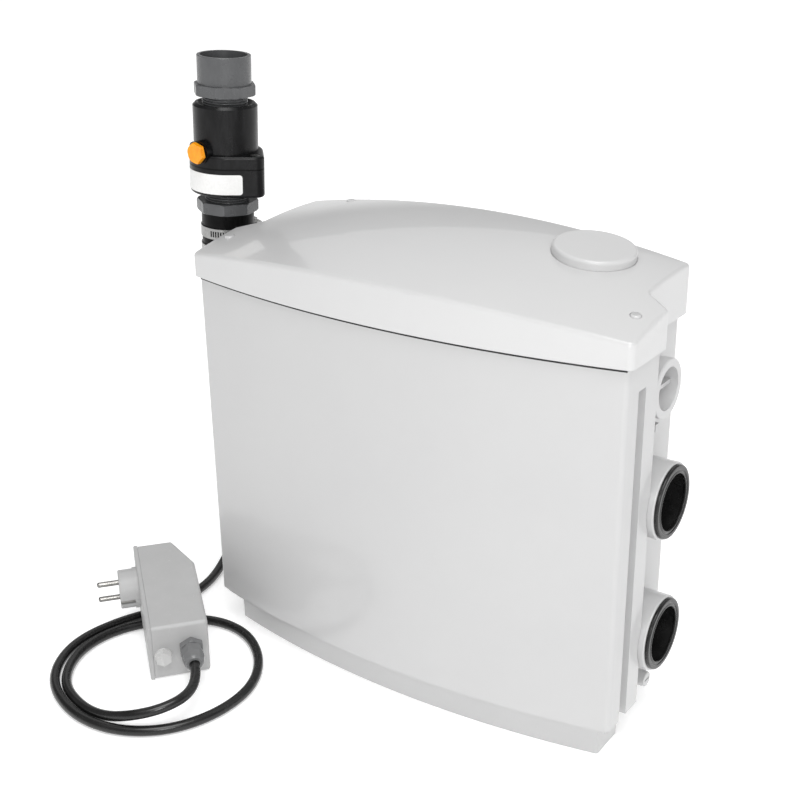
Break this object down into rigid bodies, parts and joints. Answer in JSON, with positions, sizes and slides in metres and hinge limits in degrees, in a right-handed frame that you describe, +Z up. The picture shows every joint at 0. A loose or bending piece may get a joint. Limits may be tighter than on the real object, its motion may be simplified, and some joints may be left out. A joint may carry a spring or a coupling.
{
  "type": "waste water lifting unit",
  "caption": "Floor-standing lifting unit that collects waste water from side inlets and pumps it up a rising pipe through a non-return valve.",
  "frame": {"origin": "on the floor, at the middle of the line between the front cover's two front corners", "axes": "X runs across the front, to the right seen from the front; Y runs from the front to the back; Z up"},
  "size_m": [0.4881, 0.3274, 0.5058],
  "materials": {
    "white_gloss": "moulded white, gloss",
    "black_rubber": "soft black rubber",
    "black_gloss": "black, gloss",
    "grey_plastic": "mid grey, satin",
    "box_grey": "light grey, satin",
    "orange_plastic": "orange, satin",
    "stainless": "stainless, drawn",
    "plated_brass": "nickel plated",
    "pump_cast": "dark painted casting",
    "laminations": "varnished laminations",
    "lead_rubber": "black lead, satin",
    "float_plastic": "natural plastic",
    "charcoal": "carbon foam",
    "board_green": "green board"
  },
  "bodies": {
    "unit": {"base_plinth": "white_gloss", "blanking_plug": "box_grey", "box_gland": "grey_plastic", "box_gland_nut": "grey_plastic", "charcoal_filter": "charcoal", "circuit_board": "board_green", "control_box_back": "box_grey", "control_box_screws": "stainless", "control_box_shell": "box_grey", "discharge_elbow": "grey_plastic", "discharge_hose": "black_rubber", "flap_pin": "stainless", "float_stem": "float_plastic", "front_cover": "white_gloss", "hose_adapter": "grey_plastic", "left_seals": "black_rubber", "lid_screw_caps": "white_gloss", "lid_screws": "stainless", "lifting_screw_ring": "black_gloss", "lower_bearing": "stainless", "lower_clamp_screw": "stainless", "lower_hose_clamp": "stainless", "mains_plug": "box_grey", "motor_can": "stainless", "motor_cap": "pump_cast", "motor_lead": "lead_rubber", "pipe_adapter": "grey_plastic", "plug_contacts": "plated_brass", "port_blank": "white_gloss", "power_cord": "lead_rubber", "pump_base": "black_gloss", "pump_casing": "black_gloss", "right_lower_seal": "black_rubber", "right_upper_seal": "black_rubber", "riser_pipe": "grey_plastic", "shaft_seal": "black_rubber", "stator": "laminations", "sump_tank": "white_gloss", "tank_cover": "white_gloss", "tank_cover_screws": "stainless", "tank_gasket": "black_rubber", "tank_gland": "grey_plastic", "tank_gland_nut": "grey_plastic", "tank_pads": "black_rubber", "top_lid": "white_gloss", "upper_bearing": "stainless", "upper_clamp_screw": "stainless", "upper_hose_clamp": "stainless", "valve_gasket": "black_rubber", "valve_lower_body": "black_gloss", "valve_screws": "stainless", "valve_upper_body": "black_gloss"},
    "rotor": {"rotor_shaft": "stainless", "rotor_core": "laminations", "impeller": "black_gloss"},
    "float": {"level_float": "float_plastic"},
    "flap": {"valve_flap": "black_rubber"},
    "lifting_device": {"lifting_screw": "orange_plastic"},
    "vent": {"vent_cap": "white_gloss"},
    "drain": {"drain_plug": "white_gloss"}
  },
  "joints": [
    {"name": "pump_spin", "type": "hinge", "parent": "unit", "child": "rotor", "pos_m": [-0.03, 0.0735, 0.1], "axis": [0, 0, 1], "continuous": true},
    {"name": "float_slide", "type": "slide", "parent": "unit", "child": "float", "axis": [0, 0, 1], "range_m": [0, 0.11]},
    {"name": "flap_swing", "type": "hinge", "parent": "unit", "child": "flap", "pos_m": [-0.23125, 0.09499, 0.42099], "axis": [-0.9983, 0.0297, 0.0506], "range_deg": [0, 65]},
    {"name": "lifting_screw_turn", "type": "hinge", "parent": "unit", "child": "lifting_device", "pos_m": [-0.23257, 0.04201, 0.42586], "axis": [-0.0296, -0.9996, 0.0015], "range_deg": [0, 90]},
    {"name": "vent_cap_lift", "type": "slide", "parent": "unit", "child": "vent", "axis": [0.1231, -0.0608, 0.9905], "range_m": [0, 0.025]},
    {"name": "drain_plug_pull", "type": "slide", "parent": "unit", "child": "drain", "axis": [1, 0, 0], "range_m": [0, 0.02]}
  ]
}
